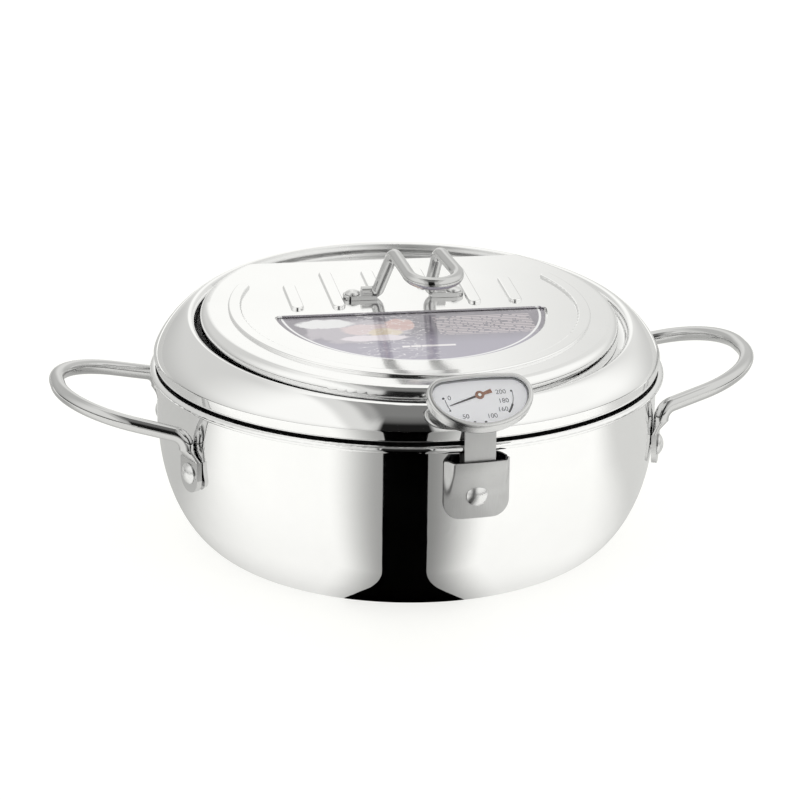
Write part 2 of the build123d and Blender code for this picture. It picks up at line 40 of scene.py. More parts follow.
# studio, in metres
FLOOR_HALF = 20.0
FLOOR_GLOW = 0.80          # light that comes through the floor, as on a light table
TENT_R = 0.9
CARD_LIFT = 0.0005         # the black card lies just above the floor flags
CARD_END = 0.88            # where the black card meets the tent, and its half width there
CARD_END_HALF = 0.17
FLAGS_LIFT = 0.0003        # floor flags: height, half width, reach behind and in front of the axis
FLAGS_HALF = 0.5
FLAGS_BACK = 0.6
FLAGS_FRONT = 0.6

# what polished steel sees of the floor: darkest value, then where the fade is full and where it ends
FOOT_FADE = (0.84, 86, 122)        # at the pot's foot, by distance from its axis in mm
LEFT_FADE = (0.53, -30, 105)       # left of the pot, by distance in front of its axis in mm
RIGHT_FADE = (0.66, -20, 75)
LEFT_HALO = (0.35, 3.2)            # beside the black card: value at its edge, reach in half widths
RIGHT_HALO = (0.24, 3.8)
STRIP_HALF = 10.2                  # half width, in mm, of the dark band on the pot's front
STRIP_FLARE = 18.0                 # how much wider it gets at the pot's foot
STRIP_SPREAD = 0.167               # how fast the card widens with distance

# sizes of the CAD part in millimetres
SHEET_T = 0.9
POT_R = 121.0
BASE_R = 83.0
WALL_Z = 65.0
RIM_TOP = 90.4
HEM_R = 121.8
HEM_GAP = 1.25             # gap between the rim and the collar's hem, dark with the painted shade behind it
HEM_SHADOW = 3.0           # height of the near-black band behind the hem, painted shade
BULGE_R = 122.6
BULGE_Z = 97.0
CROWN_TILT = 4.15
CROWN_Y = -7.0
CROWN_Z = 115.1
CROWN_R = 107.2
SHOULDER_FALL = 1.5
MOUTH_R = 103.7
LEDGE_DEPTH = 6.0
LEDGE_R = 96.0
LIP_DROP = 3.0
GAP_IN_R = 99.8            # the gap around the lid ends under the lid's edge
CHORD_OPEN_Y = 55.0        # the lid's straight edge leaves the ledge open behind this
SKIRT_R = 119.3
SKIRT_Z = 84.0
LID_RISE = 4.5
LID_TURN = -4.6
LID_SHIFT = -1.0
FACE_TILT = 50.0
FACE_Y = -126.6
FACE_Z = 114.4
PIVOT_V = 2.0
DIAL_DROP = 3.2
NEEDLE_ANGLE = 197.0
MOON_R = 66.5
BRACKET_HALF = 15.5
BRACKET_TOP = 83.2
BRACKET_BOTTOM = 54.5
BRACKET_T = 1.2
BRACKET_GAP = 0.1          # between the plate and the pot's wall
BRACKET_CORNER = 8.0
BRACKET_TOP_CORNER = 1.5
POCKET_DEPTH = 5.75
POCKET_SIDE = (12.2, 15.4)  # the pocket's side wall, by distance from the bracket's middle
POCKET_RISE = (64.0, 82.0)  # heights between which the pocket comes forward
LINE_PITCH = 2.1           # rows of the plate's print
WORLD_COLOUR = (1.0, 1.0, 0.975)
WORLD_STRENGTH = 1.05

# zones of the collar and its material slots; the third slot is near-black steel, painted shade
PLAIN, HEM, MOUTH, GAP = range(4)
POLISHED, SATIN, PAINTED_SHADE = range(3)

# print on the dial, in mm from the pointer's shaft: x, y and radius of the dots, and the numerals
DIAL_DOTS = (
    (-17.0, -0.4, 0.6),
    (-15.1, -7.0, 0.45),
    (-5.0, -13.7, 0.6),
    (0.0, -14.0, 0.6),
    (14.9, 1.1, 0.5),
)
NUMERALS = (
    ("0", -14.2, -0.4),
    ("50", -8.6, -10.6),
    ("100", 3.6, -11.2),
    ("160", 9.2, -8.2),
    ("180", 10.4, -3.8),
    ("200", 10.0, 0.9),
)
NUMERAL_SIZE = 3.3
DOT_SIDES = 16
MARK_ARC_R = 16.4          # arc at the scale's start
ZONE_ARC_R = 15.3          # arc at the frying temperatures

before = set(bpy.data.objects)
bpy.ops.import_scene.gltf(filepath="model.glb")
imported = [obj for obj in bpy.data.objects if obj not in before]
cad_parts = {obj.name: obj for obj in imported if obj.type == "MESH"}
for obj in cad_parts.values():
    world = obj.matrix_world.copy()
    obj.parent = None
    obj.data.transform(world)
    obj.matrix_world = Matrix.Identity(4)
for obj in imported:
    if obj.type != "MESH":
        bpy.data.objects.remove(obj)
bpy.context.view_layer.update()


# ---------------------------------------------------------------- camera and studio
def look_from(yaw, rise, distance, aim):
    """Place on a circle around aim, yaw degrees from -Y towards -X."""
    yaw = math.radians(yaw)
    rise = math.radians(rise)
    level = math.cos(rise)
    away = Vector((-math.sin(yaw) * level, -math.cos(yaw) * level, math.sin(rise)))
    return aim + distance * away


def make_camera():
    place = look_from(CAMERA_YAW, CAMERA_RISE, CAMERA_DISTANCE, Vector((0, 0, ORBIT_Z * MM)))
    data = bpy.data.cameras.new("camera")
    data.lens = LENS_MM
    data.clip_end = 100
    camera = bpy.data.objects.new("camera", data)
    bpy.context.scene.collection.objects.link(camera)
    turn = (AIM - place).to_track_quat("-Z", "Y").to_matrix().to_4x4()
    roll = Matrix.Rotation(math.radians(CAMERA_ROLL), 4, "Z")
    camera.matrix_world = Matrix.Translation(place) @ turn @ roll
    bpy.context.scene.camera = camera


def link_mesh(name, verts, faces, smooth=True):
    """New mesh object from plain lists."""
    mesh = bpy.data.meshes.new(name)
    mesh.from_pydata(verts, [], faces)
    mesh.validate()
    if smooth:
        mesh.shade_smooth()
    piece = bpy.data.objects.new(name, mesh)
    bpy.context.scene.collection.objects.link(piece)
    return piece


def make_world():
    world = bpy.data.worlds.new("studio")
    world.use_nodes = True
    sky = world.node_tree.nodes["Background"]
    sky.inputs["Color"].default_value = (*WORLD_COLOUR, 1)
    sky.inputs["Strength"].default_value = WORLD_STRENGTH
    bpy.context.scene.world = world
    bpy.context.scene.view_settings.view_transform = "Standard"


def smooth_step(low, high, value):
    """0 below low, 1 above high, smooth between; low may be the larger one."""
    t = min(max((value - low) / (high - low), 0.0), 1.0)
    return t * t * (3 - 2 * t)


def blend(a, b, t):
    return a + (b - a) * t


def gobo(name, verts, faces, shades):
    """Studio flag that only reflections see. It dims what lies behind it to its shade."""
    flag = link_mesh(name, verts, faces)
    layer = flag.data.attributes.new("shade", "FLOAT", "POINT")
    layer.data.foreach_set("value", shades)
    material = bpy.data.materials.new(name)
    material.use_nodes = True
    tree = material.node_tree
    tree.nodes.clear()
    shade = tree.nodes.new("ShaderNodeAttribute")
    shade.attribute_name = "shade"
    veil = tree.nodes.new("ShaderNodeBsdfTransparent")
    out = tree.nodes.new("ShaderNodeOutputMaterial")
    tree.links.new(shade.outputs["Fac"], veil.inputs["Color"])
    tree.links.new(veil.outputs["BSDF"], out.inputs["Surface"])
    flag.data.materials.append(material)
    flag.visible_camera = False
    flag.visible_diffuse = False
    flag.visible_transmission = False
    flag.visible_shadow = False


def grid_faces(rows, columns, closed):
    """Quads over a grid of rows by columns points; closed joins the last column to the first."""
    faces = []
    spans = columns if closed else columns - 1
    for i in range(rows - 1):
        for j in range(spans):
            k = (j + 1) % columns
            near, far = i * columns, (i + 1) * columns
            faces.append((near + j, near + k, far + k, far + j))
    return faces


def front_width(turn, rise):
    """Sideways part, 0 to 1, of a direction on the camera's side; 1 for all behind the pot."""
    if abs(turn) >= 90:
        return 1.0
    return math.cos(math.radians(rise)) * math.sin(math.radians(abs(turn)))


def tent_shade(turn, rise):
    """Brightness of the light tent: turn in degrees from the camera's side, rise above the floor."""
    side = abs(turn)
    width = front_width(turn, rise)
    high = smooth_step(35, 55, rise)
    wall = smooth_step(75, 55, rise)
    left = wall * smooth_step(60, 110, side) * smooth_step(170, 150, side) if turn < 0 else 0.0
    right = wall * smooth_step(105, 140, side) * smooth_step(181, 166, side) if turn >= 0 else 0.0
    flags = (
        (0.80, smooth_step(28, 5, rise)),                                      # foot of the tent
        (0.10, smooth_step(7.5, 3.5, rise) * smooth_step(125, 95, side)),      # line at the horizon
        (0.72, smooth_step(0.42, 0.34, width)),                                # wide card at the camera
        (blend(0.85, 0.52, high), smooth_step(0.26, 0.20, width)),             # narrower card
        (0.55, smooth_step(0.16, 0.12, width) * high),                         # narrowest, overhead
        (0.02, smooth_step(12.5, 10.5, side) * smooth_step(60, 38, rise)),     # black slot
        (0.66, left),                                                          # left wall
        (0.76, right),                                                         # right wall
    )
    shade = 1.0
    for darkest, cover in flags:
        shade *= blend(1.0, darkest, cover)
    return shade


def faded(value, fade):
    """Brightness under a fade, given as darkest value, place where it is full, place where it ends."""
    darkest, full, end = fade
    return blend(darkest, 1.0, smooth_step(full, end, value))


def floor_shade(x, y):
    """Brightness of the floor in reflections: x to the camera's right, y towards the camera, in mm."""
    shade = faded(math.hypot(x, y), FOOT_FADE)
    shade *= faded(y, LEFT_FADE if x < 0 else RIGHT_FADE)
    if y < 0:
        return shade
    half = STRIP_HALF + STRIP_SPREAD * max(y - POT_R, 0)
    edge, reach = LEFT_HALO if x < 0 else RIGHT_HALO
    return shade * faded(abs(x), (edge, half, half * (1 + reach)))


def wall_bounce(side, z, eye):
    """Where a sight line that meets the pot's wall at height z, side mm off its middle, reaches
    the floor. x to the camera's right, y towards the camera, in mm."""
    across = POT_R - BASE_R
    drop = min(z - WALL_Z, 0.0)
    bulge = across * math.sqrt(1 - (drop / WALL_Z) ** 2)
    radius = BASE_R + bulge
    point = Vector((side, math.sqrt(radius ** 2 - side ** 2), z))
    rise = drop / WALL_Z ** 2
    level = bulge / across ** 2
    normal = Vector((point.x / radius * level, point.y / radius * level, rise)).normalized()
    ray = (point - eye).normalized()
    ray -= 2 * ray.dot(normal) * normal
    return point - ray * (z / ray.z)


def make_strip_flag(toward, right):
    """Black card on the floor whose reflection is an upright band, flared at the pot's foot."""
    rise = math.radians(CAMERA_RISE)
    distance = CAMERA_DISTANCE / MM
    eye = Vector((0, math.cos(rise) * distance, ORBIT_Z + math.sin(rise) * distance))
    heights = range(3, 89)
    verts = []
    for z in heights:
        half = STRIP_HALF + STRIP_FLARE * (1 - smooth_step(2, 27, z)) ** 1.5
        for side in (-half, half):
            spot = wall_bounce(side, z, eye) * MM
            verts.append(right * spot.x + toward * spot.y + Vector((0, 0, CARD_LIFT)))
    for side in (-CARD_END_HALF, CARD_END_HALF):
        verts.append(right * side + toward * CARD_END + Vector((0, 0, CARD_LIFT)))
    gobo("strip_flag", verts, grid_faces(len(heights) + 1, 2, False), [0.0] * len(verts))


def make_tent():
    """Dome and floor flags that give the polished steel its dark and grey accents."""
    verts = []
    shades = []
    turns = 180
    rises = 46
    for i in range(rises):
        rise = math.radians(90 * i / rises)
        for j in range(turns):
            turn = 360 * j / turns - 180
            verts.append(look_from(CAMERA_YAW - turn, math.degrees(rise), TENT_R, Vector((0, 0, 0))))
            shades.append(tent_shade(turn, math.degrees(rise)))
    gobo("tent_flags", verts, grid_faces(rises, turns, True), shades)
    toward = look_from(CAMERA_YAW, 0, 1, Vector((0, 0, 0)))
    right = Vector((-toward.y, toward.x, 0))
    verts = []
    shades = []
    xs = spaced(-FLAGS_HALF, FLAGS_HALF, 201, 0.35)
    ys = [FLAGS_BACK * (k / 50 - 1) for k in range(50)] + [FLAGS_FRONT * k / 150 for k in range(150)]
    for y in ys:
        for x in xs:
            verts.append(toward * y + right * x + Vector((0, 0, FLAGS_LIFT)))
            shades.append(floor_shade(x / MM, y / MM))
    gobo("floor_flags", verts, grid_faces(len(ys), len(xs), False), shades)
    make_strip_flag(toward, right)


def spaced(low, high, count, ease):
    """Numbers from low to high, closer together in the middle the smaller ease is."""
    values = []
    for k in range(count):
        t = 2 * k / (count - 1) - 1
        values.append((low + high) / 2 + (high - low) / 2 * blend(t ** 3, t, ease))
    return values


def make_floor():
    half = FLOOR_HALF
    corners = [(-half, -half, 0), (half, -half, 0), (half, half, 0), (-half, half, 0)]
    floor = link_mesh("floor", corners, [(0, 1, 2, 3)], smooth=False)
    shader = Shader("floor_paper", base=(0.25, 0.25, 0.245), roughness=0.9)
    shader.surface.inputs["Emission Color"].default_value = (*WORLD_COLOUR, 1)
    shader.surface.inputs["Emission Strength"].default_value = FLOOR_GLOW
    grain = shader.add("ShaderNodeTexNoise", Scale=900, Detail=3)
    shader.bump(grain.outputs["Fac"], 0.02, 0.0002)
    floor.data.materials.append(shader.material)


# ---------------------------------------------------------------- materials
class Shader:
    """Principled material with short calls for its detail nodes."""

    def __init__(self, name, base=(0.8, 0.8, 0.8), roughness=0.3, metallic=0.0):
        self.material = bpy.data.materials.new(name)
        self.material.use_nodes = True
        self.tree = self.material.node_tree
        self.surface = self.tree.nodes["Principled BSDF"]
        self.surface.inputs["Base Color"].default_value = (*base, 1)
        self.surface.inputs["Roughness"].default_value = roughness
        self.surface.inputs["Metallic"].default_value = metallic

    def add(self, kind, settings=None, **inputs):
        node = self.tree.nodes.new(kind)
        for key, value in (settings or {}).items():
            setattr(node, key, value)
        for key, value in inputs.items():
            node.inputs[key].default_value = value
        return node

    def link(self, output, target):
        self.tree.links.new(output, target)

    def coords(self, scale=(1, 1, 1), turn=(0, 0, 0)):
        """Object coordinates in metres, scaled."""
        source = self.add("ShaderNodeTexCoord")
        mapping = self.add("ShaderNodeMapping", Scale=scale, Rotation=turn)
        self.link(source.outputs["Object"], mapping.inputs["Vector"])
        return mapping.outputs["Vector"]

    def ring_coords(self, scale):
        """Distance from the Z axis and height, so that noise runs in rings."""
        source = self.add("ShaderNodeTexCoord")
        flat = self.add("ShaderNodeVectorMath", {"operation": "MULTIPLY"})
        flat.inputs[1].default_value = (1, 1, 0)
        self.link(source.outputs["Object"], flat.inputs[0])
        radius = self.add("ShaderNodeVectorMath", {"operation": "LENGTH"})
        self.link(flat.outputs["Vector"], radius.inputs[0])
        parts = self.add("ShaderNodeSeparateXYZ")
        self.link(source.outputs["Object"], parts.inputs["Vector"])
        joined = self.add("ShaderNodeCombineXYZ")
        self.link(radius.outputs["Value"], joined.inputs["X"])
        self.link(parts.outputs["Z"], joined.inputs["Z"])
        mapping = self.add("ShaderNodeMapping", Scale=scale)
        self.link(joined.outputs["Vector"], mapping.inputs["Vector"])
        return mapping.outputs["Vector"]

    def noise(self, vector, scale, detail=4.0, roughness=0.55):
        node = self.add("ShaderNodeTexNoise", Scale=scale, Detail=detail, Roughness=roughness)
        self.link(vector, node.inputs["Vector"])
        return node.outputs["Fac"]

    def spread(self, value, low, high):
        """Map a 0.3 to 0.7 noise value to low to high."""
        node = self.add("ShaderNodeMapRange")
        node.inputs["From Min"].default_value = 0.3
        node.inputs["From Max"].default_value = 0.7
        node.inputs["To Min"].default_value = low
        node.inputs["To Max"].default_value = high
        self.link(value, node.inputs["Value"])
        return node.outputs["Result"]

    def tint(self, value, dark, light):
        """Mix two colours by a value and use it as the base colour."""
        self.link(self.mix(value, dark, light), self.surface.inputs["Base Color"])

    def math(self, operation, a, b):
        node = self.add("ShaderNodeMath", {"operation": operation})
        for socket, value in zip(node.inputs, (a, b)):
            if isinstance(value, (int, float)):
                socket.default_value = value
            else:
                self.link(value, socket)
        return node.outputs["Value"]

    def product(self, a, b):
        return self.math("MULTIPLY", a, b)

    def step(self, value, low, high):
        """0 to 1 ramp between low and high, which may fall."""
        node = self.add("ShaderNodeMapRange", {"interpolation_type": "SMOOTHSTEP"})
        node.inputs["From Min"].default_value = min(low, high)
        node.inputs["From Max"].default_value = max(low, high)
        node.inputs["To Min"].default_value = 0.0 if low < high else 1.0
        node.inputs["To Max"].default_value = 1.0 if low < high else 0.0
        self.link(value, node.inputs["Value"])
        return node.outputs["Result"]

    def patch(self, x, y, warp, centre, radii):
        """Soft-edged ellipse with a wavy outline."""
        across = self.product(self.math("SUBTRACT", x, centre[0]), 1 / radii[0])
        along = self.product(self.math("SUBTRACT", y, centre[1]), 1 / radii[1])
        squares = self.math("ADD", self.product(across, across), self.product(along, along))
        wavy = self.math("ADD", squares, self.product(warp, 1.6))
        return self.step(wavy, 1.9, 1.5)

    def stretched(self, vector, scale):
        node = self.add("ShaderNodeMapping", Scale=scale)
        self.link(vector, node.inputs["Vector"])
        return node.outputs["Vector"]

    def mix(self, value, a, b):
        """Blend of two colours, each a tuple or an output."""
        node = self.add("ShaderNodeMix", {"data_type": "RGBA"})
        self.link(value, node.inputs["Factor"])
        for key, colour in (("A", a), ("B", b)):
            socket = [one for one in node.inputs if one.name == key and one.type == "RGBA"][0]
            if isinstance(colour, tuple):
                socket.default_value = (*colour, 1)
            else:
                self.link(colour, socket)
        return [one for one in node.outputs if one.type == "RGBA"][0]

    def rough(self, value):
        self.link(value, self.surface.inputs["Roughness"])

    def bump(self, value, strength, distance):
        node = self.add("ShaderNodeBump", Strength=strength, Distance=distance)
        self.link(value, node.inputs["Height"])
        self.link(node.outputs["Normal"], self.surface.inputs["Normal"])


def mirror_steel(name, low=0.015, high=0.05, base=0.905):
    """Polished stainless steel with faint polishing rings and handling haze."""
    shader = Shader(name, metallic=1.0)
    rings = shader.noise(shader.ring_coords((2600, 1, 2600)), 1.0, 3)
    haze = shader.noise(shader.coords(), 26, 5)
    shader.tint(shader.spread(haze, 0, 1), (base, base, base), (base + 0.025,) * 3)
    shader.rough(shader.spread(haze, low, high))
    shader.bump(rings, 0.02, 0.00002)
    return shader.material


def satin_steel(name, scale, rough=0.3, base=0.62, contrast=0.07):
    """Brushed steel, grain along the axis with the small scale."""
    shader = Shader(name, metallic=1.0)
    grain = shader.noise(shader.coords(scale), 1.0, 6, 0.7)
    haze = shader.noise(shader.coords(), 60, 4)
    shader.tint(shader.spread(grain, 0, 1), (base * (1 - contrast),) * 3, (base * (1 + contrast),) * 3)
    shader.rough(shader.spread(haze, rough * 0.8, rough * 1.25))
    shader.bump(grain, 0.12, 0.00004)
    return shader.material


def make_finishes():
    """One material for each slot of the record, and the near-black steel that paints shade in gaps and on
    hidden faces.
    """
    return {
        "painted_shade_steel": painted_shade_steel(),
        "mirror_steel": mirror_steel("mirror_steel"),
        "lid_steel": mirror_steel("lid_steel", 0.09, 0.15),
        # handles: a darker copy of the polished steel, painted shade for the greyer look of their
        # reflections
        "handle_steel": mirror_steel("handle_steel", 0.05, 0.10, 0.60),
        "rivet_steel": satin_steel("rivet_steel", (2500, 2500, 2500), 0.3, 0.8, 0.03),
        "satin_steel": satin_steel("satin_steel", (6000, 6000, 160), 0.42, 0.57),
        "case_steel": satin_steel("case_steel", (3000, 3000, 3000), 0.24, 0.66, 0.03),
        "clear_glass": clear_glass(),
        "seal_rubber": plain_grain("seal_rubber", (0.50, 0.49, 0.52), (0.58, 0.57, 0.60), 0.5),
        "dial_face": plain_grain("dial_face", (0.86, 0.84, 0.88), (0.90, 0.88, 0.92), 0.45, 0.22),
        "bush_brass": metal_grain("bush_brass", (0.62, 0.42, 0.16), (0.75, 0.53, 0.24), 0.3),
        "pointer_bronze": pointer_paint(),
        "coil_bimetal": metal_grain("coil_bimetal", (0.45, 0.36, 0.28), (0.6, 0.5, 0.4), 0.35),
        "printed_plate": printed_plate(),
    }


def coat_nodes(finishes):
    """Give each CAD node its material."""
    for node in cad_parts.values():
        for slot in node.material_slots:
            slot.material = finishes[slot.material.name.split(".")[0]]


def plain_grain(name, dark, light, rough, glow=0.0):
    """Matt or semi-gloss surface with fine mottling; glow makes up for light lost in the glass."""
    shader = Shader(name)
    shader.surface.inputs["Emission Color"].default_value = (*light, 1)
    shader.surface.inputs["Emission Strength"].default_value = glow
    mottle = shader.noise(shader.coords(), 1400, 4)
    shader.tint(shader.spread(mottle, 0, 1), dark, light)
    shader.rough(shader.spread(mottle, rough * 0.85, rough * 1.15))
    shader.bump(mottle, 0.08, 0.00003)
    return shader.material


def metal_grain(name, dark, light, rough):
    shader = Shader(name, metallic=1.0)
    mottle = shader.noise(shader.coords(), 900, 5)
    shader.tint(shader.spread(mottle, 0, 1), dark, light)
    shader.rough(shader.spread(mottle, rough * 0.8, rough * 1.2))
    shader.bump(mottle, 0.1, 0.00003)
    return shader.material


def local_parts(shader, place):
    """X, Y and the whole vector, in mm, in the frame of a tilted part."""
    source = shader.add("ShaderNodeTexCoord")
    local = shader.add("ShaderNodeMapping", {"vector_type": "TEXTURE"})
    local.inputs["Location"].default_value = place.translation
    local.inputs["Rotation"].default_value = place.to_euler("XYZ")
    local.inputs["Scale"].default_value = (MM, MM, MM)
    shader.link(source.outputs["Object"], local.inputs["Vector"])
    parts = shader.add("ShaderNodeSeparateXYZ")
    shader.link(local.outputs["Vector"], parts.inputs["Vector"])
    return parts.outputs["X"], parts.outputs["Y"], local.outputs["Vector"]


def pointer_paint():
    """Bronze hub and tail; the needle itself is painted dark."""
    shader = Shader("pointer_bronze", metallic=0.6)
    place = face_frame() @ Matrix.Translation(Vector((0, PIVOT_V, 0)) * MM)
    place = place @ Matrix.Rotation(math.radians(NEEDLE_ANGLE), 4, "Z")
    along, _, vector = local_parts(shader, place)
    mottle = shader.noise(vector, 1.2, 4)
    bronze = shader.mix(shader.spread(mottle, 0, 1), (0.27, 0.11, 0.07), (0.38, 0.18, 0.11))
    colour = shader.mix(shader.step(along, 2.1, 2.6), bronze, (0.03, 0.022, 0.025))
    shader.link(colour, shader.surface.inputs["Base Color"])
    shader.rough(shader.spread(mottle, 0.35, 0.5))
    return shader.material


def painted_shade_steel():
    """Near-black steel, painted shade for the gaps and for the hidden backs and edges of sheet parts."""
    shader = Shader("painted_shade_steel", metallic=1.0)
    mottle = shader.noise(shader.coords(), 300, 5)
    shader.tint(shader.spread(mottle, 0, 1), (0.02, 0.02, 0.021), (0.05, 0.05, 0.05))
    shader.rough(shader.spread(mottle, 0.45, 0.6))
    return shader.material


def printed_plate():
    """Glossy plate printed with a soft food picture on the left and plain lines on the right."""
    shader = Shader("printed_plate")
    x, y, vector = local_parts(shader, lid_frame())
    warp = shader.noise(vector, 0.11, 4)
    colour = shader.mix(shader.spread(warp, 0, 1), (0.17, 0.155, 0.19), (0.25, 0.23, 0.27))
    colour = shader.mix(shader.step(y, -22, -45), colour, (0.36, 0.34, 0.42))
    patches = (
        (-30, -24, 26, 15, (0.46, 0.43, 0.48)),
        (-22, -22, 17, 7, (0.66, 0.55, 0.57)),
        (-43, -13, 14, 6, (0.78, 0.78, 0.80)),
        (-8, -17, 7, 8, (0.60, 0.40, 0.38)),
        (-17, -27, 9, 6, (0.70, 0.60, 0.48)),
        (-22, -33, 17, 4, (0.76, 0.70, 0.76)),
    )
    for cx, cy, rx, ry, ink in patches:
        colour = shader.mix(shader.patch(x, y, warp, (cx, cy), (rx, ry)), colour, ink)
    threads = shader.noise(shader.stretched(vector, (0.09, 0.35, 1.0)), 1.0, 2)
    ridge = shader.step(shader.math("ABSOLUTE", shader.math("SUBTRACT", threads, 0.5), 0), 0.012, 0.004)
    tangle = shader.product(shader.step(x, 8, 2), shader.step(x, -34, -28))
    colour = shader.mix(shader.product(tangle, ridge), colour, (0.85, 0.83, 0.86))
    line = shader.math("FLOOR", shader.product(y, 1 / LINE_PITCH), 0)
    row = shader.math("PINGPONG", y, LINE_PITCH / 2)
    joined = shader.add("ShaderNodeCombineXYZ")
    shader.link(x, joined.inputs["X"])
    shader.link(shader.product(line, 17.3), joined.inputs["Y"])
    words = shader.noise(joined.outputs["Vector"], 0.55, 1)
    bars = shader.product(shader.step(row, 0.48, 0.66), shader.step(words, 0.40, 0.43))
    block = shader.product(shader.step(x, 9, 9.5), shader.step(x, 57, 56))
    block = shader.product(block, shader.product(shader.step(y, -33, -32), shader.step(y, -8.5, -9.5)))
    colour = shader.mix(shader.product(block, bars), colour, (0.62, 0.55, 0.58))
    foot = shader.product(shader.step(x, -12, -11.5), shader.step(x, 14, 13.5))
    foot = shader.product(foot, shader.product(shader.step(y, -46.4, -46), shader.step(y, -44.0, -44.4)))
    colour = shader.mix(shader.product(foot, shader.step(words, 0.36, 0.39)), colour, (0.88, 0.85, 0.87))
    radius = shader.math("SQRT", shader.math("ADD", shader.product(x, x), shader.product(y, y)), 0)
    border = shader.step(radius, MOON_R - 4.4, MOON_R - 4.0)
    border = shader.product(border, shader.step(radius, MOON_R - 2.9, MOON_R - 3.3))
    colour = shader.mix(border, colour, (0.86, 0.86, 0.88))
    shader.link(colour, shader.surface.inputs["Base Color"])
    shader.rough(shader.spread(warp, 0.05, 0.12))
    shader.surface.inputs["Coat Weight"].default_value = 0.6
    shader.surface.inputs["Coat Roughness"].default_value = 0.03
    return shader.material


def clear_glass():
    shader = Shader("clear_glass", base=(0.97, 0.985, 0.98), roughness=0.0)
    shader.surface.inputs["Transmission Weight"].default_value = 1.0
    shader.surface.inputs["IOR"].default_value = 1.48
    smears = shader.noise(shader.coords(), 90, 4)
    shader.rough(shader.spread(smears, 0.0, 0.03))
    return shader.material


# ---------------------------------------------------------------- frames of the tilted parts
def tilted(tilt, origin):
    """Frame with its origin in mm, tipped forward about X."""
    return Matrix.Translation(Vector(origin) * MM) @ Matrix.Rotation(math.radians(tilt), 4, "X")


def lid_frame():
    crown = tilted(CROWN_TILT, (0, CROWN_Y, CROWN_Z))
    lift = Matrix.Translation(Vector((LID_SHIFT, 0, LID_RISE)) * MM)
    return crown @ lift @ Matrix.Rotation(math.radians(LID_TURN), 4, "Z")


def face_frame():
    """x to the right, y up the dial, z out of the glass."""
    return tilted(90 - FACE_TILT, (0, FACE_Y, FACE_Z))


# ---------------------------------------------------------------- splash collar
def collar_rings():
    """Radius, centre y, z, tilt and zone of each ring of the collar's outer face, from the skirt up."""
    hem = RIM_TOP + HEM_GAP
    skirt = [(SKIRT_R, SKIRT_Z)]
    under = [(SKIRT_R, hem - HEM_SHADOW), (SKIRT_R, hem - 0.7), (SKIRT_R + 0.2, hem - 0.2)]
    under += [(SKIRT_R + 0.7, hem), (HEM_R - 0.5, hem)]
    side = [(HEM_R - 0.15, hem + 0.15), (HEM_R, hem + 0.5)]
    for t in (0.25, 0.5, 0.75):
        side.append((blend(HEM_R, BULGE_R, math.sin(t * math.pi / 2)), blend(hem + 0.5, BULGE_Z, t)))
    rings = []
    for zone, points in ((PLAIN, skirt), (HEM, under), (PLAIN, side)):
        rings += [(radius, 0, z, 0, zone) for radius, z in points]
    for k in range(25):
        turn = math.radians(90 * k / 24)
        up = math.sin(turn) ** SHOULDER_FALL
        across = max(math.cos(turn), 0) ** SHOULDER_FALL
        radius = CROWN_R + (BULGE_R - CROWN_R) * across
        slope = up * math.tan(math.radians(CROWN_TILT)) * CROWN_R / radius
        z = BULGE_Z + (CROWN_Z - BULGE_Z) * up
        rings.append((radius, CROWN_Y * (1 - across), z, math.degrees(math.atan(slope)), PLAIN))
    roll = CROWN_R - MOUTH_R
    curl = []
    for k in range(1, 10):
        turn = math.radians(10 * k)
        curl.append((CROWN_R - roll * math.sin(turn), -roll * (1 - math.cos(turn))))
    low = -LEDGE_DEPTH
    wall = [(MOUTH_R, low + 1.2), (MOUTH_R - 0.35, low + 0.35), (MOUTH_R - 1.2, low)]
    ledge = [(GAP_IN_R, low), (LEDGE_R + 0.9, low), (LEDGE_R + 0.25, low - 0.25)]
    ledge += [(LEDGE_R, low - 0.9), (LEDGE_R, low - LIP_DROP)]
    lean = math.radians(CROWN_TILT)
    for zone, points in ((PLAIN, curl[:2]), (MOUTH, curl[2:-1]), (GAP, curl[-1:] + wall), (MOUTH, ledge)):
        for radius, height in points:
            y = CROWN_Y - height * math.sin(lean)
            rings.append((radius, y, CROWN_Z + height * math.cos(lean), CROWN_TILT, zone))
    return rings


def collar_finish(zone, x, y):
    """Material slot of a face, from its zone and its place in metres."""
    if zone == PLAIN:
        return POLISHED
    # painted shade: the band under the hem, and the gap around the lid on its left, are near-black
    if zone == HEM:
        return PAINTED_SHADE
    if y > CHORD_OPEN_Y * MM:
        return SATIN
    return PAINTED_SHADE if zone == GAP and x < 0 else POLISHED


def make_collar(polished, satin, shade_steel):
    """The collar as one dense sheet, so that its reflections run smooth."""
    around = 360
    verts = []
    rings = collar_rings()
    for radius, centre_y, z, tilt, _ in rings:
        lean = math.radians(tilt)
        for j in range(around):
            turn = 2 * math.pi * j / around
            out = radius * math.sin(turn)
            y = centre_y + out * math.cos(lean)
            verts.append(Vector((radius * math.cos(turn), y, z + out * math.sin(lean))) * MM)
    collar = link_mesh("polished_collar", verts, grid_faces(len(rings), around, True))
    for material in (polished, satin, shade_steel):
        collar.data.materials.append(material)
    zones = [ring[-1] for ring in rings]
    for index, face in enumerate(collar.data.polygons):
        face.material_index = collar_finish(zones[index // around], face.center.x, face.center.y)
    thicken(collar, SHEET_T, SATIN)
    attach(collar, "collar")
    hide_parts("splash_collar")


def thicken(sheet, thickness, inner_material=0):
    """Give an open skin its sheet thickness, inwards."""
    wall = sheet.modifiers.new("sheet", "SOLIDIFY")
    wall.thickness = thickness * MM
    wall.offset = -1
    wall.use_even_offset = True
    wall.material_offset = inner_material
    wall.material_offset_rim = inner_material


# ---------------------------------------------------------------- thermometer bracket
def bracket_skin(x, z):
    """Distance of the bracket's front from the pot's axis plane, in mm."""
    outer = POT_R + BRACKET_GAP + BRACKET_T
    pocket = (1 - smooth_step(*POCKET_SIDE, abs(x))) * smooth_step(*POCKET_RISE, z)
    return math.sqrt(outer ** 2 - x ** 2) + POCKET_DEPTH * pocket


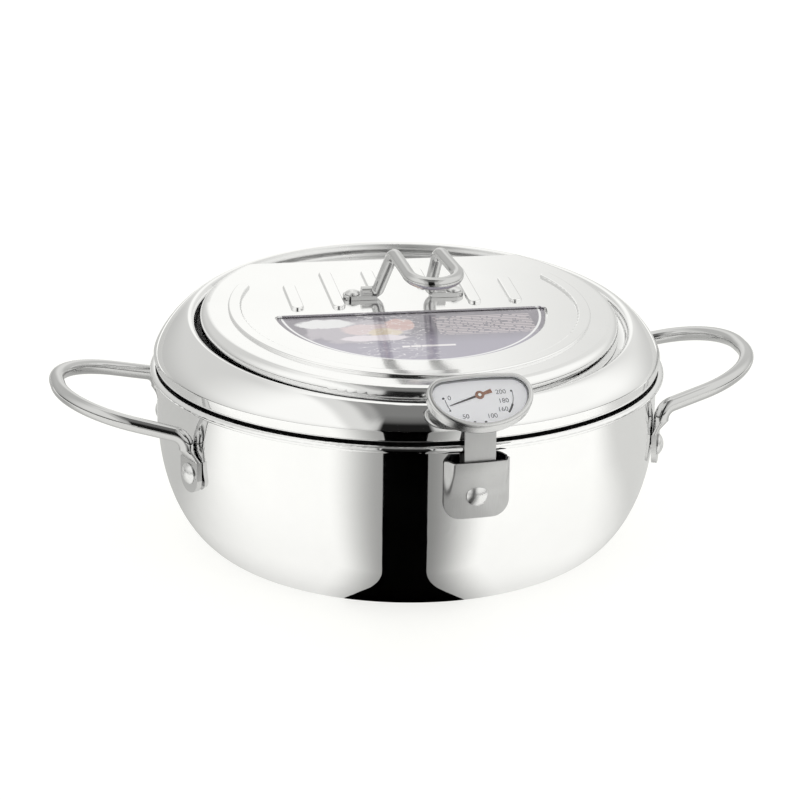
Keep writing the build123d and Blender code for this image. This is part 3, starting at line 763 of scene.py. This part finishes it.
def corner_cut(radius, height):
    """How far a round corner stands in from the plate's side, at a height from its end."""
    inside = max(radius - height, 0)
    return radius - math.sqrt(radius ** 2 - inside ** 2)


def make_bracket(satin, shade_steel):
    """Plate bent to the wall, with a soft pocket drawn out at its top."""
    rows = 64
    columns = 65
    verts = []
    for i in range(rows):
        z = blend(BRACKET_BOTTOM, BRACKET_TOP, (i / (rows - 1)) ** 1.3)
        cut = corner_cut(BRACKET_CORNER, z - BRACKET_BOTTOM)
        cut += corner_cut(BRACKET_TOP_CORNER, BRACKET_TOP - z)
        for j in range(columns):
            x = (BRACKET_HALF - cut) * (2 * j / (columns - 1) - 1)
            verts.append(Vector((x, -bracket_skin(x, z), z)) * MM)
    bracket = link_mesh("pressed_bracket", verts, grid_faces(rows, columns, False))
    bracket.data.materials.append(satin)
    # painted shade: the plate's back and edges are near-black, for the dark line where it stands off the
    # wall
    bracket.data.materials.append(shade_steel)
    thicken(bracket, BRACKET_T, 1)
    edge = bracket.modifiers.new("edge", "BEVEL")
    edge.width = 0.2 * MM
    edge.segments = 2
    edge.limit_method = "ANGLE"
    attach(bracket, "pot")
    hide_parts("thermometer_bracket")


# ---------------------------------------------------------------- dial print
def dial_arc(start, end, radius, width, steps):
    """Flat band on the dial between two angles, as vertices and faces in mm."""
    verts = []
    for k in range(steps + 1):
        turn = math.radians(blend(start, end, k / steps))
        for r in (radius - width / 2, radius + width / 2):
            verts.append((r * math.cos(turn), r * math.sin(turn)))
    return verts, [(2 * k, 2 * k + 1, 2 * k + 3, 2 * k + 2) for k in range(steps)]


def make_dial_print():
    """Scale marks and numerals, printed a hair above the dial plate."""
    frame_face = face_frame() @ Matrix.Translation(Vector((0, PIVOT_V, 0.02 - DIAL_DROP)) * MM)
    ink = plain_grain("dial_ink", (0.015, 0.015, 0.018), (0.03, 0.03, 0.035), 0.5)
    verts = []
    faces = []

    def add(points, polygons):
        base = len(verts)
        verts.extend(frame_face @ Vector((x * MM, y * MM, 0)) for x, y in points)
        faces.extend(tuple(base + k for k in polygon) for polygon in polygons)

    add(*dial_arc(184, 206, MARK_ARC_R, 0.35, 12))
    add(*dial_arc(-41, -22, ZONE_ARC_R, 0.95, 10))
    add(*dial_arc(-22, 4, ZONE_ARC_R, 0.35, 12))
    for x, y, r in DIAL_DOTS:
        turns = [2 * math.pi * k / DOT_SIDES for k in range(DOT_SIDES)]
        ring = [(x + r * math.cos(turn), y + r * math.sin(turn)) for turn in turns]
        add(ring, [tuple(range(DOT_SIDES))])
    for text, x, y in NUMERALS:
        curve = bpy.data.curves.new("numeral", "FONT")
        curve.body = text
        curve.size = NUMERAL_SIZE
        curve.align_x = "CENTER"
        curve.align_y = "CENTER"
        source = bpy.data.objects.new("numeral", curve)
        flat = bpy.data.meshes.new_from_object(source)
        add([(v.co.x + x, v.co.y + y) for v in flat.vertices], [tuple(p.vertices) for p in flat.polygons])
        bpy.data.objects.remove(source)
    marks = link_mesh("dial_print", verts, faces, smooth=False)
    marks.data.materials.append(ink)
    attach(marks, "thermometer")


make_camera()
make_world()
make_floor()
make_tent()
finishes = make_finishes()
coat_nodes(finishes)
make_collar(finishes["mirror_steel"], finishes["rivet_steel"], finishes["painted_shade_steel"])
make_bracket(finishes["satin_steel"], finishes["painted_shade_steel"])
make_dial_print()
